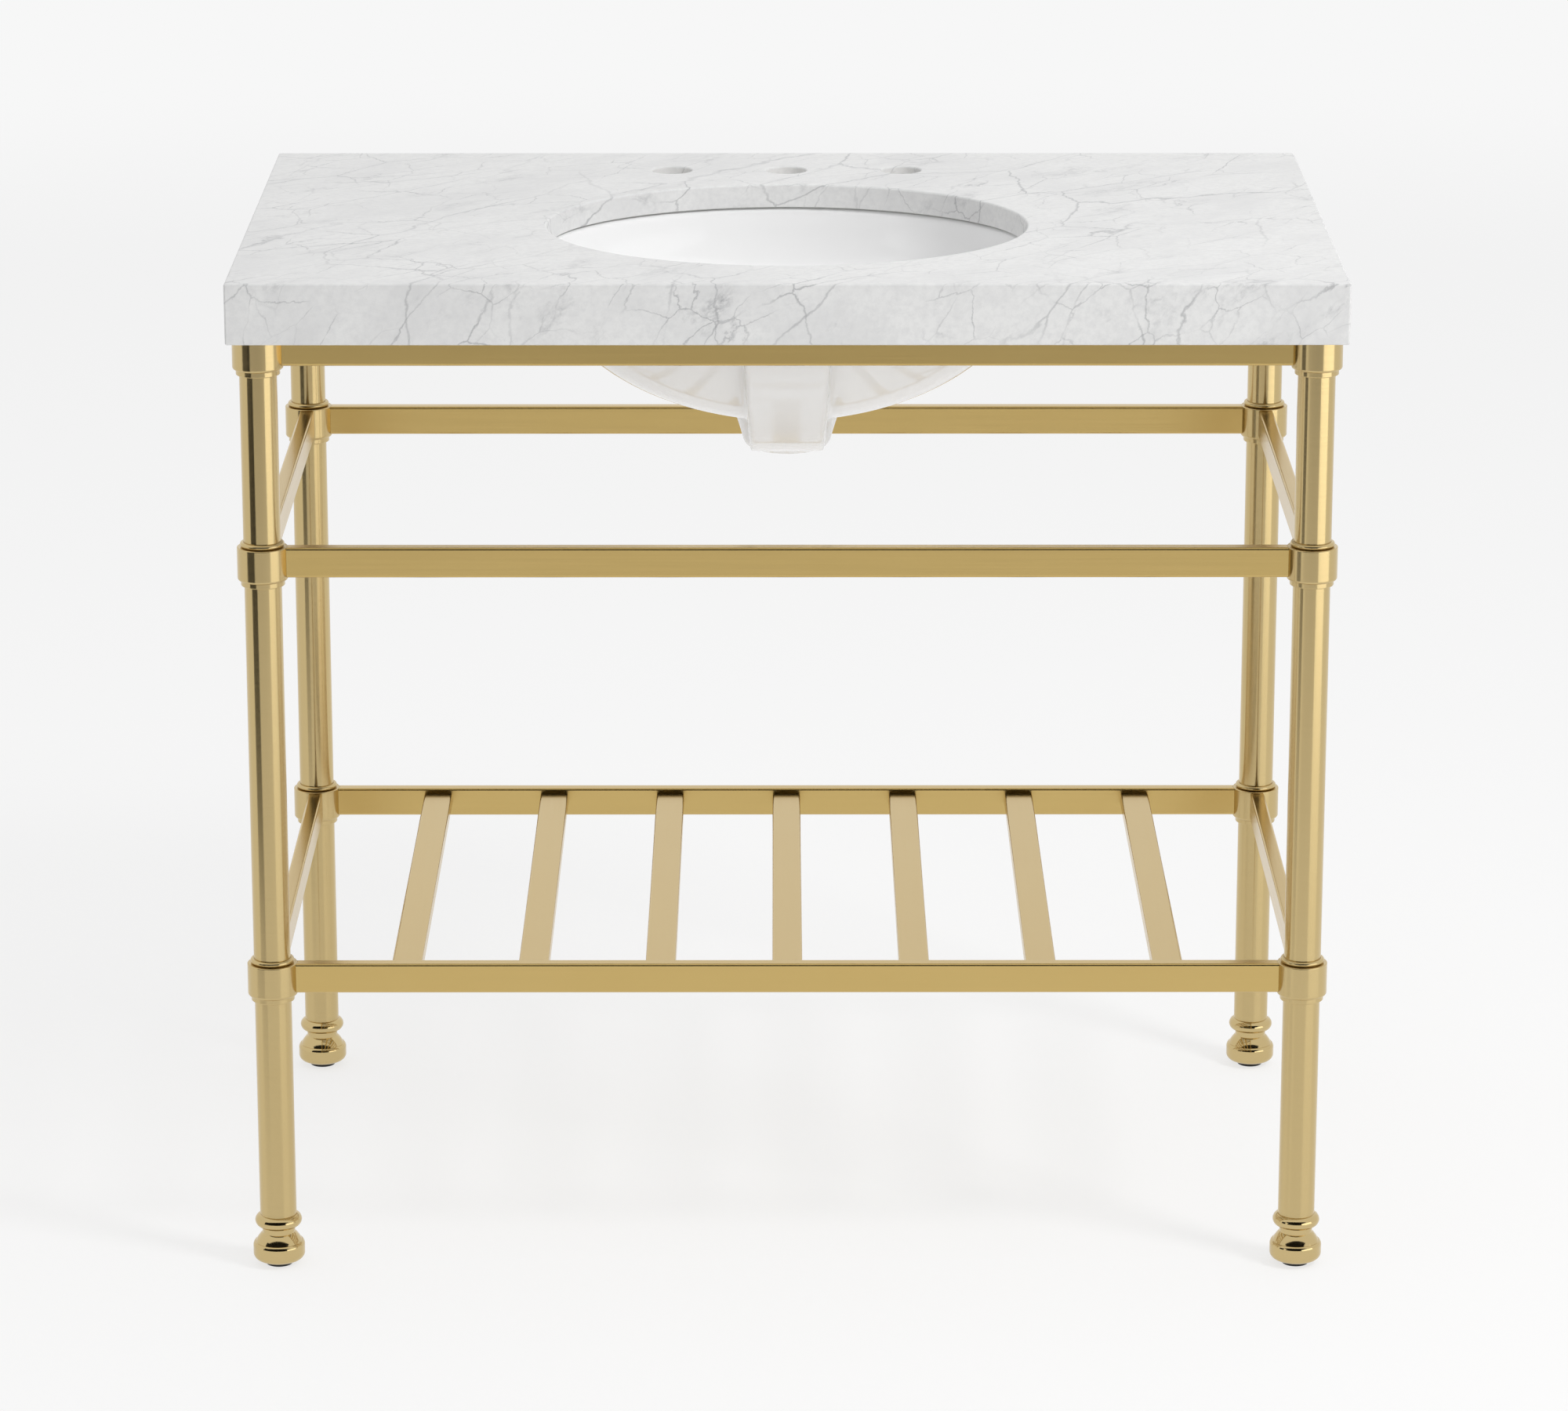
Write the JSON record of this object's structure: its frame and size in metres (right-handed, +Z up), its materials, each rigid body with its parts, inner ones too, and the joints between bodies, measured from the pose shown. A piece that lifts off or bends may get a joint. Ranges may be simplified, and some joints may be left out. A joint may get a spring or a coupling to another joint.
{
  "type": "single sink vanity",
  "caption": "Console vanity: white marble top with a deep edge and undermount oval basin on a brass tube stand with towel rails, a slatted shelf and turned feet on levelling glides.",
  "frame": {"origin": "on the floor, under the middle of the marble top", "axes": "+X to the right along the front, +Y to the wall, +Z up"},
  "size_m": [0.9144, 0.5716, 0.8572],
  "materials": {
    "satin_brass": "brushed satin brass, lacquered",
    "polished_brass": "polished brass, lacquered",
    "marble": "white marble with grey veins, honed and sealed",
    "china": "white vitreous china, glazed",
    "steel": "zinc-plated steel",
    "silicone": "translucent silicone",
    "pad_rubber": "black moulded rubber",
    "plug_plastic": "black moulded plastic"
  },
  "bodies": {
    "stand": {"basin": "china", "basin_clips": "steel", "basin_seal": "silicone", "clip_screws": "steel", "collar_shelf_back_left": "satin_brass", "collar_shelf_back_right": "satin_brass", "collar_shelf_front_left": "satin_brass", "collar_shelf_front_right": "satin_brass", "collar_top_back_left": "satin_brass", "collar_top_back_right": "satin_brass", "collar_top_front_left": "satin_brass", "collar_top_front_right": "satin_brass", "collar_towel_back_left": "satin_brass", "collar_towel_back_right": "satin_brass", "collar_towel_front_left": "satin_brass", "collar_towel_front_right": "satin_brass", "foot_back_left": "polished_brass", "foot_back_right": "polished_brass", "foot_front_left": "polished_brass", "foot_front_right": "polished_brass", "leg_tube_back_left": "satin_brass", "leg_tube_back_right": "satin_brass", "leg_tube_front_left": "satin_brass", "leg_tube_front_right": "satin_brass", "marble_edge_back": "marble", "marble_edge_front": "marble", "marble_edge_left": "marble", "marble_edge_right": "marble", "marble_slab": "marble", "rail_screws": "steel", "shelf_rail_back": "satin_brass", "shelf_rail_front": "satin_brass", "shelf_rail_left": "satin_brass", "shelf_rail_right": "satin_brass", "shelf_slat_1": "satin_brass", "shelf_slat_2": "satin_brass", "shelf_slat_3": "satin_brass", "shelf_slat_4": "satin_brass", "shelf_slat_5": "satin_brass", "shelf_slat_6": "satin_brass", "shelf_slat_7": "satin_brass", "slab_bumpers": "silicone", "slat_plugs": "plug_plastic", "top_rail_back": "satin_brass", "top_rail_front": "satin_brass", "top_rail_left": "satin_brass", "top_rail_right": "satin_brass", "towel_rail_back": "satin_brass", "towel_rail_front": "satin_brass", "towel_rail_left": "satin_brass", "towel_rail_right": "satin_brass"},
    "leveller_front_left": {"leveller_pad_front_left": "pad_rubber", "leveller_stem_front_left": "steel"},
    "leveller_front_right": {"leveller_pad_front_right": "pad_rubber", "leveller_stem_front_right": "steel"},
    "leveller_back_right": {"leveller_pad_back_right": "pad_rubber", "leveller_stem_back_right": "steel"},
    "leveller_back_left": {"leveller_pad_back_left": "pad_rubber", "leveller_stem_back_left": "steel"}
  },
  "joints": [
    {"name": "leveller_screw_front_left", "type": "slide", "parent": "stand", "child": "leveller_front_left", "axis": [0, 0, -1], "range_m": [0, 0.012]},
    {"name": "leveller_screw_front_right", "type": "slide", "parent": "stand", "child": "leveller_front_right", "axis": [0, 0, -1], "range_m": [0, 0.012]},
    {"name": "leveller_screw_back_right", "type": "slide", "parent": "stand", "child": "leveller_back_right", "axis": [0, 0, -1], "range_m": [0, 0.012]},
    {"name": "leveller_screw_back_left", "type": "slide", "parent": "stand", "child": "leveller_back_left", "axis": [0, 0, -1], "range_m": [0, 0.012]}
  ]
}
